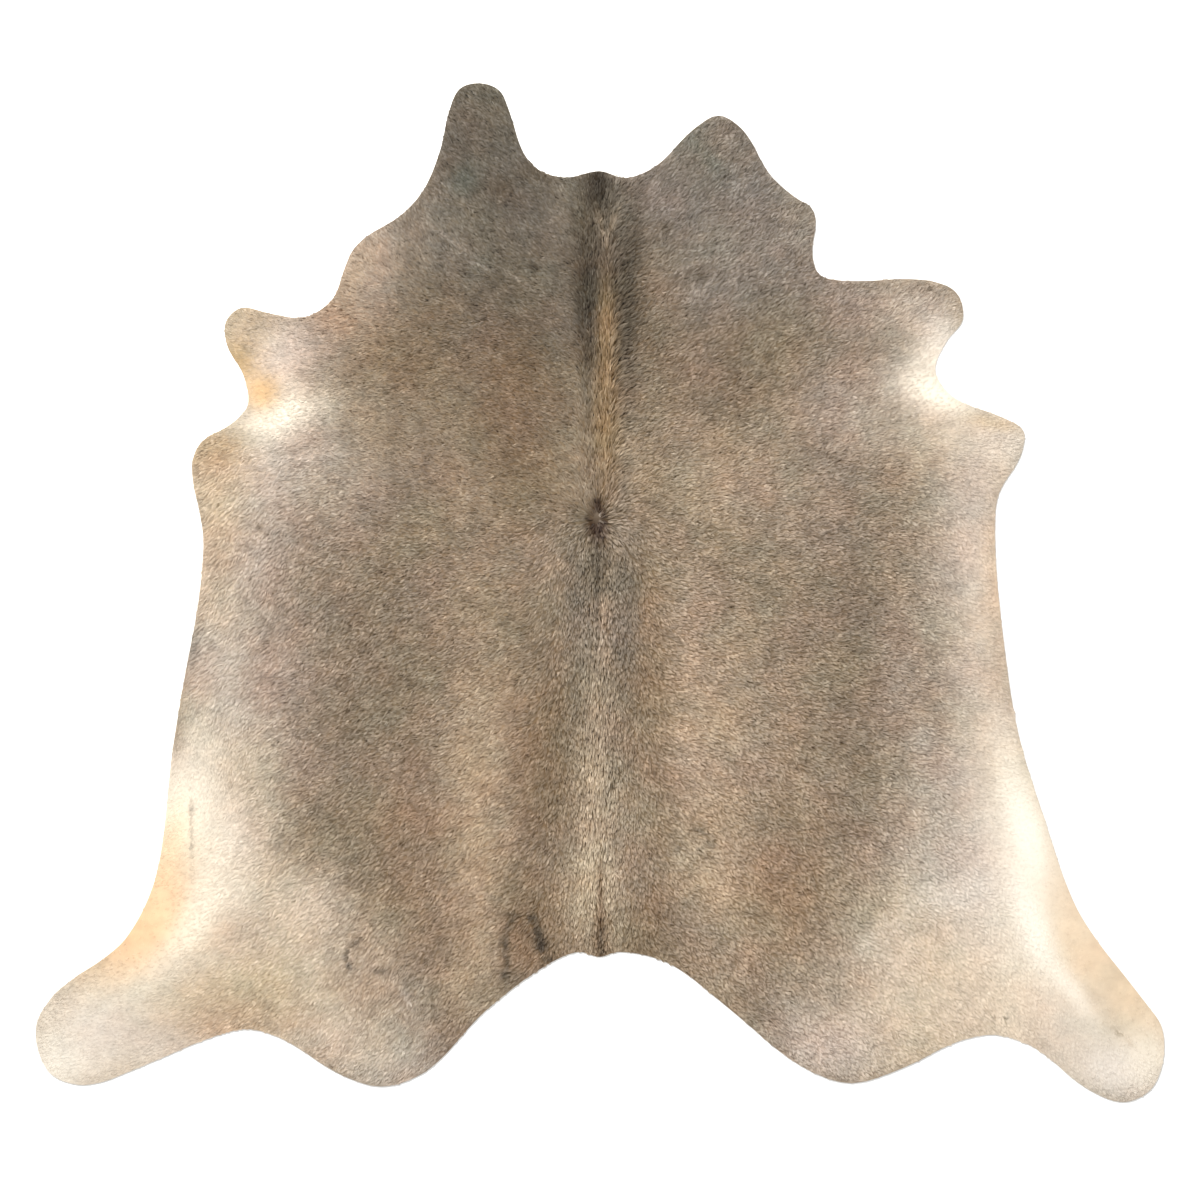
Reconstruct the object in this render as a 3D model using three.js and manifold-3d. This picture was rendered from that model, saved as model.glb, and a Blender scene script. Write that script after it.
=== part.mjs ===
// Cowhide rug: one whole hide, tanned with its coat on and cut along its natural outline, lying flat.
// Millimetres, +Z up, the neck towards +Y. The origin is the middle of the underside's bounding box.

import * as THREE from "three";
import { mergeVertices } from "three/addons/utils/BufferGeometryUtils.js";
import Module from "manifold-3d";

// Driving dimensions
const HIDE_WIDTH = 2300; // across the two hind legs
const HIDE_LENGTH = 2077; // from the neck lobes to the hind legs
const SKIN = 2; // thickness of the tanned skin, which is the cut edge that shows
const COAT = 3.7; // depth of the hair where it lies down on the sides
const SPINE_RISE = 1.3; // how much deeper the coat is along the back
const SPINE_HALF_WIDTH = 70; // how far that ridge reaches to each side
const EDGE_ROUNDING = 9; // how far in from the cut edge the coat rounds down to the skin
const UNEVENNESS = 0.45; // how far the hide's own waviness lifts or lowers its top
const WAVE_ACROSS = 610; // length of one such wave across the hide
const WAVE_ALONG = 740; // and along it

// How finely the shape is stepped
const STEPS_PER_POINT = 3; // steps of the outline between two of its points
const TOP_GRID = 44; // spacing of the top's points
const ROUNDING_STEPS = 3;
const DEEP = 100; // well past the hide's top or underside, for the blocks that trim it

// The cut edge, anticlockwise from the middle of the neck. Each section's points are x and y from the
// middle of the hide. A smooth curve runs through all of them.
const EDGE = [
  { section: "neck notch, left", points: [[0, 859], [-67, 846], [-120, 859], [-155, 896]] },
  { section: "left neck lobe", points: [[-184, 980], [-204, 1023], [-243, 1038], [-285, 1027], [-308, 978]] },
  { section: "left of the neck", points: [[-324, 906], [-359, 821], [-408, 767]] },
  { section: "left shoulder", points: [[-475, 726], [-504, 697], [-521, 659], [-545, 598], [-602, 561], [-673, 569]] },
  { section: "left foreleg", points: [[-732, 580], [-763, 550], [-759, 501], [-728, 446], [-718, 382]] },
  { section: "left elbow", points: [[-754, 342], [-812, 307], [-832, 258]] },
  { section: "left belly", points: [[-809, 117], [-818, -15], [-848, -180], [-873, -335]] },
  { section: "left flank", points: [[-895, -531], [-922, -627], [-979, -719], [-1109, -816]] },
  { section: "left hind leg", points: [[-1150, -888], [-1123, -978], [-1050, -1004], [-922, -961]] },
  { section: "left thigh", points: [[-805, -912], [-720, -890], [-644, -912], [-530, -982]] },
  { section: "left rump lobe", points: [[-442, -1007], [-351, -974], [-237, -857]] },
  { section: "tail", points: [[-112, -762], [-43, -733], [0, -743], [39, -733], [139, -755], [263, -847]] },
  { section: "right rump lobe", points: [[404, -961], [510, -1000], [622, -968]] },
  { section: "right thigh", points: [[728, -917], [807, -902], [889, -929], [989, -1008]] },
  { section: "right hind leg", points: [[1068, -1039], [1124, -1014], [1149, -957], [1147, -887], [1108, -829]] },
  { section: "right flank", points: [[979, -654], [907, -460], [854, -286]] },
  { section: "right belly", points: [[824, -97], [807, 97], [814, 199]] },
  { section: "right elbow", points: [[858, 276], [865, 329], [824, 356], [724, 397]] },
  { section: "right foreleg", points: [[685, 452], [708, 512], [741, 556], [727, 612], [663, 637]] },
  { section: "right shoulder", points: [[502, 635], [449, 648], [434, 690], [441, 760], [430, 787], [404, 802]] },
  { section: "right neck lobe", points: [[347, 853], [294, 941], [243, 972], [188, 941]] },
  { section: "neck notch, right", points: [[116, 870], [53, 845]] },
];

// Where the hair is short and the hide thinner: the inside of the legs and the soft flanks
const THIN_PLACES = [
  { place: "left flank", x: -850, y: -480, across: 130, along: 330, drop: 1.3 },
  { place: "right flank", x: 900, y: -560, across: 130, along: 330, drop: 1.3 },
  { place: "left forearm", x: -665, y: 385, across: 120, along: 80, drop: 1.0 },
  { place: "right forearm", x: 680, y: 430, across: 110, along: 110, drop: 1.0 },
  { place: "left hind leg", x: -1040, y: -900, across: 130, along: 110, drop: 0.7 },
  { place: "right hind leg", x: 1060, y: -900, across: 130, along: 130, drop: 0.7 },
];

const bump = (distance, reach) => Math.exp(-((distance / reach) ** 2));

// The smooth cut edge, moved and stretched so that it measures exactly the hide's width and length
function cutEdge() {
  const marks = EDGE.flatMap(({ points }) => points.map(([x, y]) => new THREE.Vector3(x, y, 0)));
  const curve = new THREE.CatmullRomCurve3(marks, true, "centripetal");
  const steps = marks.length * STEPS_PER_POINT;
  const points = curve.getPoints(steps).slice(0, steps);
  const box = new THREE.Box3().setFromPoints(points);
  const middle = box.getCenter(new THREE.Vector3());
  const measured = box.getSize(new THREE.Vector3());
  return points.map(
    ({ x, y }) =>
      new THREE.Vector2(
        ((x - middle.x) * HIDE_WIDTH) / measured.x,
        ((y - middle.y) * HIDE_LENGTH) / measured.y,
      ),
  );
}

// Height of the coat's top above the floor at one place on the hide
function topHeight(x, y) {
  const ridge = SPINE_RISE * bump(x, SPINE_HALF_WIDTH);
  const waves =
    Math.sin((2 * Math.PI * x) / WAVE_ACROSS + y / WAVE_ALONG) * Math.cos((2 * Math.PI * y) / WAVE_ALONG);
  const thin = THIN_PLACES.reduce(
    (sum, spot) => sum + spot.drop * bump(Math.hypot((x - spot.x) / spot.across, (y - spot.y) / spot.along), 1),
    0,
  );
  return SKIN + COAT + ridge + UNEVENNESS * waves - thin;
}

// A block that covers the whole hide and reaches below the floor, whose top follows the coat
function coatBlock() {
  const width = HIDE_WIDTH + 2 * TOP_GRID;
  const length = HIDE_LENGTH + 2 * TOP_GRID;
  const block = new THREE.BoxGeometry(
    width,
    length,
    2 * DEEP,
    Math.round(width / TOP_GRID),
    Math.round(length / TOP_GRID),
  );
  const { position } = block.attributes;
  for (let i = 0; i < position.count; i += 1) {
    if (position.getZ(i) > 0) {
      position.setZ(i, topHeight(position.getX(i), position.getY(i)));
    }
  }
  return block;
}

// The outline raised straight up as far as the skin's edge and rounded in above it, as the coat is.
// It starts below the floor, so that its lower rounding is cut away.
function roundedOutline() {
  const plate = new THREE.ExtrudeGeometry(new THREE.Shape(cutEdge()), {
    depth: 2 * SKIN,
    bevelThickness: COAT + SPINE_RISE + 2 * UNEVENNESS,
    bevelSize: EDGE_ROUNDING,
    bevelOffset: -EDGE_ROUNDING,
    bevelSegments: ROUNDING_STEPS,
  });
  return plate.translate(0, 0, -SKIN);
}

// Everything from the floor up
function aboveFloor() {
  return new THREE.BoxGeometry(2 * HIDE_WIDTH, 2 * HIDE_LENGTH, DEEP).translate(0, 0, DEEP / 2);
}

const wasm = await Module();
wasm.setup();

// A closed geometry as a solid that can be cut
function solidOf(geometry) {
  const bare = geometry.clone();
  bare.deleteAttribute("normal");
  bare.deleteAttribute("uv");
  const merged = mergeVertices(bare, 1e-3);
  return new wasm.Manifold(
    new wasm.Mesh({
      numProp: 3,
      vertProperties: new Float32Array(merged.attributes.position.array),
      triVerts: new Uint32Array(merged.index.array),
    }),
  );
}

function geometryOf(solid) {
  const { vertProperties, triVerts } = solid.getMesh();
  const geometry = new THREE.BufferGeometry();
  geometry.setAttribute("position", new THREE.BufferAttribute(vertProperties, 3));
  geometry.setIndex(new THREE.BufferAttribute(triVerts, 1));
  geometry.computeVertexNormals();
  return geometry;
}

const hairOnHide = new THREE.MeshStandardMaterial({ color: 0x94887a, roughness: 0.85, metalness: 0 });

function makeHide() {
  const solid = solidOf(roundedOutline()).intersect(solidOf(aboveFloor())).intersect(solidOf(coatBlock()));
  const hide = new THREE.Mesh(geometryOf(solid), hairOnHide);
  hide.name = "hide";
  return hide;
}

const rug = new THREE.Group();
rug.add(makeHide());

export default rug;
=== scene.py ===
# %% [markdown]
# # A cowhide rug
# This notebook dresses one flat cowhide: tanned skin with its coat on, cut along its natural outline. The
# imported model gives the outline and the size, and everything here is built round it, in metres, with the
# neck towards +Y and the floor at height zero.

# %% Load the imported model
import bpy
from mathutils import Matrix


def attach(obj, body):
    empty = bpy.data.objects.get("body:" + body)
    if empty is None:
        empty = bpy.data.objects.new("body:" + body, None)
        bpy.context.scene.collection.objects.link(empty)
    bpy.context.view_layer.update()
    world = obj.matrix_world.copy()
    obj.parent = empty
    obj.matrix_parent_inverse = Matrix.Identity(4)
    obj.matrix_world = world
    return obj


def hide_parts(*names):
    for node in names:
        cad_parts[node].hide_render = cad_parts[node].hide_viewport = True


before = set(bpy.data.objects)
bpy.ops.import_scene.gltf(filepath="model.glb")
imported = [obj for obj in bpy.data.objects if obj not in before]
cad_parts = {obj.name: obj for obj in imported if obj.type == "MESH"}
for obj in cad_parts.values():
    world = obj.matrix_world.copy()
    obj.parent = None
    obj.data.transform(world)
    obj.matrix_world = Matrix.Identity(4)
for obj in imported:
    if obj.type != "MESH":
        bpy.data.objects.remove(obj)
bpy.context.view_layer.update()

import math
import bpy
import bmesh
import numpy as np
from mathutils import Vector
from mathutils.geometry import delaunay_2d_cdt

MM = 0.001
scene = bpy.context.scene

# %% [markdown]
# ## Helpers that every material shares
# Colours are picked as sRGB hex values, as on a paint card, but light adds up in linear numbers, so one
# function turns them. Another adds a shader node, gives it its settings and joins its inputs, which keeps
# each material readable as a short list of nodes. The rest add soft noise, a mix and the finished shader.

# %% Colour and node helpers
def srgb(hex_colour):
    """A hex colour as three sRGB numbers from 0 to 1."""
    return np.array([int(hex_colour[i : i + 2], 16) for i in (1, 3, 5)]) / 255


def linear(colour):
    """sRGB numbers, or a hex colour, turned to the linear numbers that light works in."""
    c = srgb(colour) if isinstance(colour, str) else np.asarray(colour)
    return np.where(c <= 0.04045, c / 12.92, ((c + 0.055) / 1.055) ** 2.4)


def rgba(hex_colour):
    """A hex colour as a shader wants it: linear, with full alpha."""
    return (*linear(hex_colour), 1.0)


def add_node(material, kind, inputs, **settings):
    """One shader node. inputs are numbers, colours or sockets to join, by name or by place in the node."""
    tree = material.node_tree
    node = tree.nodes.new("ShaderNode" + kind)
    for name, value in settings.items():
        setattr(node, name, value)
    for place, value in inputs.items():
        if isinstance(value, bpy.types.NodeSocket):
            tree.links.new(value, node.inputs[place])
        else:
            node.inputs[place].default_value = value
    return node


def add_noise(material, scale, detail, roughness=0.5):
    """Soft noise in the piece's own space. scale counts its patches in a metre."""
    place = add_node(material, "TexCoord", {}).outputs["Object"]
    look = {"Vector": place, "Scale": scale, "Detail": detail, "Roughness": roughness}
    return add_node(material, "TexNoise", look).outputs[0]


def add_mix(material, share, first, second, blend="MIX"):
    """Two colours, mixed by a share from 0 to 1."""
    colours = {0: share, 6: first, 7: second}
    return add_node(material, "Mix", colours, data_type="RGBA", blend_type=blend).outputs[2]


def add_shader(material, look):
    """The shader with this look, joined to the material's output."""
    shader = add_node(material, "BsdfPrincipled", look)
    add_node(material, "OutputMaterial", {"Surface": shader.outputs[0]})


def new_material(name):
    """A material without any nodes yet."""
    material = bpy.data.materials.new(name)
    material.use_nodes = True
    material.node_tree.nodes.clear()
    return material


# %% [markdown]
# ## Camera, floor and light
# The hide is seen from straight above, so the camera hangs over it and looks down with the neck at the
# top of the picture. A long lens keeps the edges from leaning. The floor is a plain pale sheet. Soft light
# comes from a bright sky and one large lamp up by the neck, low enough to rake across the hair a little.

# %% Camera straight above
PICTURE_WIDTH = 2.447  # metres of floor across the picture
PICTURE_MIDDLE_Y = -15 * MM  # the picture's middle lies a little towards the tail
LENS = 85  # mm
SENSOR = 36  # mm

camera_data = bpy.data.cameras.new("camera")
camera_data.lens = LENS
camera_data.sensor_width = SENSOR
camera = bpy.data.objects.new("camera", camera_data)
camera.location = (0, PICTURE_MIDDLE_Y, PICTURE_WIDTH * LENS / SENSOR)
scene.collection.objects.link(camera)
scene.camera = camera
scene.view_settings.view_transform = "Standard"
print("camera height in metres:", round(camera.location.z, 3))

# %% Floor and light
FLOOR_SIZE = 40
FLOOR_GAP = 0.2 * MM  # the floor lies this far below the hide
LAMP_PLACE = (-2.6, 4.4, 4.0)  # metres
LAMP_SIZE = 2.4  # metres
LAMP_POWER = 700  # watts
SKY_STRENGTH = 0.78

bpy.ops.mesh.primitive_plane_add(size=FLOOR_SIZE, location=(0, 0, -FLOOR_GAP))
floor = bpy.context.object
floor.name = "floor"

painted_floor = new_material("matt_white_floor_paint")
add_shader(painted_floor, {"Base Color": rgba("#f6f6f5"), "Roughness": 0.9, "Specular IOR Level": 0.2})
floor.data.materials.append(painted_floor)

lamp_data = bpy.data.lights.new("window_lamp", "AREA")
lamp_data.size = LAMP_SIZE
lamp_data.energy = LAMP_POWER
lamp = bpy.data.objects.new("window_lamp", lamp_data)
lamp.location = LAMP_PLACE
lamp.rotation_euler = (-Vector(LAMP_PLACE)).to_track_quat("-Z", "Y").to_euler()
scene.collection.objects.link(lamp)

sky = bpy.data.worlds.new("sky")
sky.use_nodes = True
sky_light = sky.node_tree.nodes["Background"].inputs
sky_light["Color"].default_value = (1, 1, 1, 1)
sky_light["Strength"].default_value = SKY_STRENGTH
scene.world = sky

# %% [markdown]
# ## The cut edge
# A hide is cut with a knife along its natural outline, so the edge is one smooth closed line. The packed
# solid already has it: the rim of its flat underside. Walking round that rim gives the points in order, and
# a smooth curve through them gives a finer edge. A map then tells how far in from the edge any place lies.

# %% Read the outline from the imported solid
EDGE_SPACING = 8 * MM
SAME_POINT = 1e-5  # metres, points closer than this are one
LOOKS_DOWN = -0.99  # a normal that looks down has a smaller z


def underside_rim(node):
    """The rim of the solid's flat underside, in order, anticlockwise seen from above."""
    mesh = bmesh.new()
    mesh.from_mesh(node.data)
    bmesh.ops.remove_doubles(mesh, verts=mesh.verts, dist=SAME_POINT)
    under = {face for face in mesh.faces if face.normal.z < LOOKS_DOWN}
    after = {}
    for face in under:
        for loop in face.loops:
            if not any(other in under for other in loop.edge.link_faces if other is not face):
                after[loop.link_loop_next.vert] = loop.vert
    start = vert = next(iter(after))
    points = []
    while not points or vert is not start:
        points.append(vert.co.xy[:])
        vert = after[vert]
    mesh.free()
    return np.array(points)


def smooth_closed(points, spacing):
    """Points a given distance apart on a smooth closed curve through the given ones."""
    before, after, beyond = np.roll(points, 1, 0), np.roll(points, -1, 0), np.roll(points, -2, 0)
    curve = []
    for p0, p1, p2, p3 in zip(before, points, after, beyond):
        steps = max(1, round(float(np.hypot(*(p2 - p1))) / spacing))
        t = (np.arange(steps) / steps)[:, None]
        bend = 2 * p0 - 5 * p1 + 4 * p2 - p3
        twist = 3 * p1 - p0 - 3 * p2 + p3
        curve.append(0.5 * (2 * p1 + (p2 - p0) * t + bend * t**2 + twist * t**3))
    return np.concatenate(curve)


rim = underside_rim(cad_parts["hide"])
edge = smooth_closed(rim, EDGE_SPACING)

# %% Map how far each place lies from the cut edge
MAP_PITCH = 6 * MM
MAP_MARGIN = 30 * MM


def distance_to_edge(x, y):
    """Distance to the rim, positive on the hide and negative off it."""
    ax, ay = rim.T
    bx, by = np.roll(rim, -1, 0).T
    px, py = x[..., None], y[..., None]
    along = ((px - ax) * (bx - ax) + (py - ay) * (by - ay)) / ((bx - ax) ** 2 + (by - ay) ** 2)
    along = along.clip(0, 1)
    distance = np.hypot(px - ax - along * (bx - ax), py - ay - along * (by - ay)).min(-1)
    crosses = ((ay > py) != (by > py)) & (px < (bx - ax) * (py - ay) / (by - ay + 1e-12) + ax)
    return np.where(crosses.sum(-1) % 2 == 1, distance, -distance)


map_low = edge.min(0) - MAP_MARGIN
map_shape = np.ceil((edge.max(0) + MAP_MARGIN - map_low) / MAP_PITCH).astype(int) + 1
map_x = map_low[0] + MAP_PITCH * np.arange(map_shape[0])
map_y = map_low[1] + MAP_PITCH * np.arange(map_shape[1])
distance_map = np.array([distance_to_edge(np.full(len(map_y), x), map_y) for x in map_x])


def inset(x, y):
    """How far inside the cut edge a place lies, read from the map."""
    u = ((x - map_low[0]) / MAP_PITCH).clip(0, map_shape[0] - 1.001)
    v = ((y - map_low[1]) / MAP_PITCH).clip(0, map_shape[1] - 1.001)
    i, j = u.astype(int), v.astype(int)
    fu, fv = u - i, v - j
    low = distance_map[i, j] * (1 - fv) + distance_map[i, j + 1] * fv
    high = distance_map[i + 1, j] * (1 - fv) + distance_map[i + 1, j + 1] * fv
    return low * (1 - fu) + high * fu


print("distance map:", distance_map.shape, "deepest place", distance_map.max().round(3), "m")

# %% [markdown]
# ## Places on the hide
# Colour, hair length and the way the hair lies all change from place to place. Each is told by a short
# table with one row for each place: its name, its value, where its middle is, how far it reaches across and
# along, how far it is turned, and how strongly it counts. All lengths are millimetres on the real hide.
# The rows are laid over each other like soft patches of paint, so one function serves them all.

# %% Lay soft places over each other
CRISPNESS = 2.5  # how crisply a place ends: 2 is a bell curve


def lay_places(x, y, start, rows, values=None):
    """The value at each x and y, in metres, after all rows. Later rows lie on top of earlier ones."""
    result = np.broadcast_to(start, x.shape + np.shape(start)).astype(float)
    for _, value, middle_x, middle_y, across, along, turn, strength in rows:
        value = values[value] if values else value
        dx, dy = x - middle_x * MM, y - middle_y * MM
        c, s = math.cos(math.radians(turn)), math.sin(math.radians(turn))
        away = np.hypot((dx * c + dy * s) / (across * MM), (dy * c - dx * s) / (along * MM))
        weight = strength * np.exp(-(away**CRISPNESS))
        weight = weight.reshape(weight.shape + (1,) * np.ndim(start))
        result += weight * (value - result)
    return result


# %% [markdown]
# ## How the skin lies
# Tanned skin 2 mm thick lies flat under its own weight, but it keeps a faint waviness, and the loose skin
# of the neck keeps low folds. They are ridges a few millimetres high, placed where they show.

# %% Height of the skin
SKIN = 2 * MM
WAVE_HEIGHT = 0.7 * MM
WAVE_LENGTH = 0.43  # metres
WAVE_SUM = 2.5  # what the waves add up to at most

# Each row: name, from x, y, to x, y, height, half width, in mm
FOLDS = [
    ("left neck, outer", -352, 748, -282, 696, 3.0, 8),
    ("left neck, middle", -268, 690, -200, 652, 3.0, 8),
    ("left neck, inner", -212, 662, -106, 600, 3.2, 8),
    ("right neck", 112, 640, 232, 680, 2.0, 9),
    ("right neck, upper", 150, 760, 300, 830, 1.2, 12),
    ("left flank fold", -732, -475, -756, -560, 2.2, 10),
    ("left flank vein", -836, -400, -828, -620, 1.2, 5),
    ("left hip scar", -512, -706, -494, -734, 1.6, 5),
    ("left chest, upper", -736, 254, -483, 286, 1.6, 8),
    ("left chest, lower", -695, 199, -593, 219, 1.4, 7),
]


def skin_height(x, y):
    """Height of the skin's upper face."""
    k = 2 * math.pi / WAVE_LENGTH
    waves = 1 + np.sin(k * x + 0.7) * np.cos(0.8 * k * y) + 0.5 * np.sin(1.9 * k * y + k * x)
    height = SKIN + WAVE_HEIGHT * waves / WAVE_SUM
    for _, x0, y0, x1, y1, rise, half_width in FOLDS:
        dx, dy = (x1 - x0) * MM, (y1 - y0) * MM
        t = (((x - x0 * MM) * dx + (y - y0 * MM) * dy) / (dx * dx + dy * dy)).clip(0, 1)
        away = np.hypot(x - x0 * MM - t * dx, y - y0 * MM - t * dy)
        fading = np.sin(math.pi * (0.15 + 0.7 * t))  # towards its two ends
        height += rise * MM * fading * np.exp(-((away / (half_width * MM)) ** 2))
    return height


# %% [markdown]
# ## The skin itself
# The skin is a sheet: an outline filled with small triangles, then thickened. Filling with a constrained
# Delaunay mesh keeps the triangles even and the cut edge exact. The Solidify modifier gives the underside
# and the cut edge their own materials, since suede and a knife cut look nothing like the hair side.

# %% Fill the outline with even triangles
SKIN_PITCH = 12.5 * MM
SKIN_SPAN = (2.5, 2.3)  # metres that its grid covers
ROW_STEP = 0.866  # from row to row of even triangles, as a share of the pitch
CLEAR_OF_EDGE = 0.6  # how far inner points stay from the edge, also as a share
FILL_INSIDE = 1  # keeps only the triangles inside the outline
FILL_TOLERANCE = 1e-6


def triangle_grid(span, pitch):
    """The x and y of a grid of even triangles round the middle, row by row."""
    nx, ny = int(span[0] / pitch), int(span[1] / (pitch * ROW_STEP))
    i, j = np.meshgrid(np.arange(nx), np.arange(ny))
    x = (i - nx / 2 + 0.5 * (j % 2)) * pitch
    y = (j - ny / 2) * pitch * ROW_STEP
    return x.ravel(), y.ravel()


def filled_outline():
    """Points and triangles of the upper face."""
    x, y = triangle_grid(SKIN_SPAN, SKIN_PITCH)
    keep = inset(x, y) > CLEAR_OF_EDGE * SKIN_PITCH
    points = [Vector(p) for p in np.concatenate([edge, np.stack([x[keep], y[keep]], 1)])]
    loop = [(k, (k + 1) % len(edge)) for k in range(len(edge))]
    verts, _, faces, _, _, _ = delaunay_2d_cdt(points, loop, [], FILL_INSIDE, FILL_TOLERANCE)
    return np.array([v[:] for v in verts]), faces


flat_points, flat_faces = filled_outline()
print("upper face:", len(flat_points), "points,", len(flat_faces), "triangles")

# %% Thicken it into one closed sheet
UNDERSIDE_SLOT = 1
RIM_SLOT = 2

skin_mesh = bpy.data.meshes.new("hide_skin")
heights = skin_height(*flat_points.T)
skin_mesh.from_pydata(np.column_stack([flat_points, heights]).tolist(), [], flat_faces)
skin = bpy.data.objects.new("hide_skin", skin_mesh)
scene.collection.objects.link(skin)

thickness = skin.modifiers.new("thickness", "SOLIDIFY")
thickness.thickness = SKIN
thickness.offset = -1
thickness.material_offset = UNDERSIDE_SLOT
thickness.material_offset_rim = RIM_SLOT


def apply_modifiers(piece):
    """Replaces a piece's mesh by what its modifiers make of it."""
    solid = bpy.data.meshes.new_from_object(piece.evaluated_get(bpy.context.evaluated_depsgraph_get()))
    piece.modifiers.clear()
    piece.data = solid
    return solid


# %% [markdown]
# ## Which way the hair lies
# Seen from above, a cow's hair starts from a whorl over the shoulders and streams away from it. In front of
# the whorl it leans out and towards the neck, behind it out and towards the tail. Right on the back line it
# runs straight along the spine. A lean of 0 degrees points straight out to the side, plus 90 to the
# neck and minus 90 to the tail, so both sides share one rule and a few places bend it.

# %% Hair direction
WHORL = (-6, 148)  # mm
LEVEL = 97  # mm, where the hair lies straight out
LEAN = 45  # degrees, far in front of it and far behind it
LEAN_REACH = 530  # mm
MANE_HALF_WIDTH = 38  # mm, of the strip that runs along the spine in front of the whorl
BACK_HALF_WIDTH = 120  # mm, and behind it
STRIP_CRISPNESS = 4
WHORL_REACH = 130  # mm
TINY = 1e-9  # keeps a length that is divided by above zero

# Each row: place, degrees towards the neck, x, y, across, along, turn, strength
BENDS = [
    ("behind the left elbow", -50, -785, 148, 225, 300, 0, 1),
    ("behind the right elbow", -45, 785, 148, 150, 240, 0, 1),
    ("left shoulder blade", -27, -400, 494, 300, 160, 0, 1),
    ("left neck side", 18, -398, 719, 120, 120, 0, 1),
    ("left ribs", -15, -510, -15, 245, 165, 0, 1),
    ("right ribs", 12, 571, -260, 160, 220, 0, 1),
    ("left flank swirl", -60, -800, -340, 90, 130, 0, 1),
    ("left leg", 14, -1000, -851, 260, 160, 0, 1),
    ("right leg", -16, 1000, -831, 250, 230, 0, 1),
    ("left rump", -14, -449, -851, 140, 130, 0, 1),
]


def hair_lean(x, y):
    """Degrees from straight out to the side, towards the neck."""
    out = np.abs(x - WHORL[0] * MM) / MM
    ahead_of_whorl = y > WHORL[1] * MM
    lean = LEAN * np.tanh((y / MM - LEVEL) / LEAN_REACH)
    for row in BENDS:
        lean += lay_places(x, y, 0.0, [row])
    strip = np.exp(-((out / np.where(ahead_of_whorl, MANE_HALF_WIDTH, BACK_HALF_WIDTH)) ** STRIP_CRISPNESS))
    return lean + strip * (np.where(ahead_of_whorl, 90, -90) - lean)


def hair_direction(x, y):
    """Unit vectors from root to tip, as seen from above."""
    from_whorl_x, from_whorl_y = x - WHORL[0] * MM, y - WHORL[1] * MM
    side = np.where(from_whorl_x < 0, -1.0, 1.0)
    lean = np.radians(hair_lean(x, y))
    reach = np.hypot(from_whorl_x, from_whorl_y) + TINY
    near = np.exp(-((reach / (WHORL_REACH * MM)) ** 2))
    flow_x = (1 - near) * side * np.cos(lean) + near * from_whorl_x / reach
    flow_y = (1 - near) * np.sin(lean) + near * from_whorl_y / reach
    size = np.hypot(flow_x, flow_y) + TINY
    return flow_x / size, flow_y / size


# %% [markdown]
# ## How long the hair is
# A cow's body coat is 15 to 17 mm long and lies so close that about half of each hair is covered by the
# next, so 8.5 mm of it shows. Along the back it is longer, on the legs and the forearms shorter, and inside
# the flanks it is so short and thin that the bare skin shows through.

# %% Hair length and cover
BODY_LENGTH = 8.5  # mm, the part that shows

# Rows as above, with a length in mm
LENGTHS = [
    ("neck", 8.0, 0, 780, 380, 300, 0, 0.8),
    ("left forearm", 6.5, -700, 410, 120, 150, 0, 0.9),
    ("right forearm", 6.5, 720, 420, 140, 150, 0, 0.9),
    ("left flank", 6.5, -860, -480, 120, 260, 8, 0.9),
    ("right flank", 6.5, 900, -520, 110, 280, 18, 0.9),
    ("left leg", 7.0, -1030, -900, 220, 140, 15, 0.9),
    ("right leg", 7.0, 1040, -900, 180, 150, -20, 0.9),
    ("left bare skin", 3.0, -950, -690, 120, 100, 45, 0.95),
    ("right bare skin", 3.0, 1020, -745, 65, 190, 31, 0.95),
    ("mane", 20.0, 12, 480, 40, 330, 0, 0.8),
    ("back line", 17.0, -4, -300, 32, 420, 0, 0.8),
    ("whorl", 10.0, -6, 148, 22, 26, 0, 0.9),
]

# How high the tips stand, as a share of what such hair does on the body
RISES = [
    ("left foreleg", 0.3, -720, 430, 100, 130, 0, 0.9),
    ("right foreleg", 0.3, 730, 430, 120, 140, 0, 0.9),
    ("right border", 0.4, 820, 40, 110, 340, 0, 0.9),
    ("left flank", 0.15, -860, -480, 130, 280, 5, 0.95),
    ("right flank", 0.15, 900, -540, 120, 300, 20, 0.95),
    ("left leg", 0.15, -1030, -900, 230, 160, 10, 0.95),
    ("left thigh", 0.5, -620, -850, 190, 160, 0, 0.8),
    ("right leg", 0.2, 1040, -880, 190, 160, 0, 0.95),
    ("right thigh", 0.4, 740, -820, 190, 150, 0, 0.8),
]

# The share of the hair that is there
COVER = [
    ("left bare skin", 0.0, -945, -680, 120, 92, 45, 1.0),
    ("right bare skin", 0.0, 1025, -745, 55, 180, 31, 1.0),
    ("left foreleg bend", 0.4, -705, 405, 45, 55, 0, 0.9),
    ("right foreleg bend", 0.4, 680, 408, 80, 35, -24, 0.9),
    ("whorl", 0.0, -6, 152, 5, 9, 0, 1.0),
]

# %% [markdown]
# ## The coat's colours
# A dun and cream coat is never one colour. The names below are hair colours as seen in soft daylight.
# The base is taupe, and each table lays the colours of one region over it: pale borders, a slate neck,
# rosy shoulders, tan columns on both sides of the spine, ivory flanks, sandy thighs, and last the dark and
# golden lines of the back.

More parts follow.
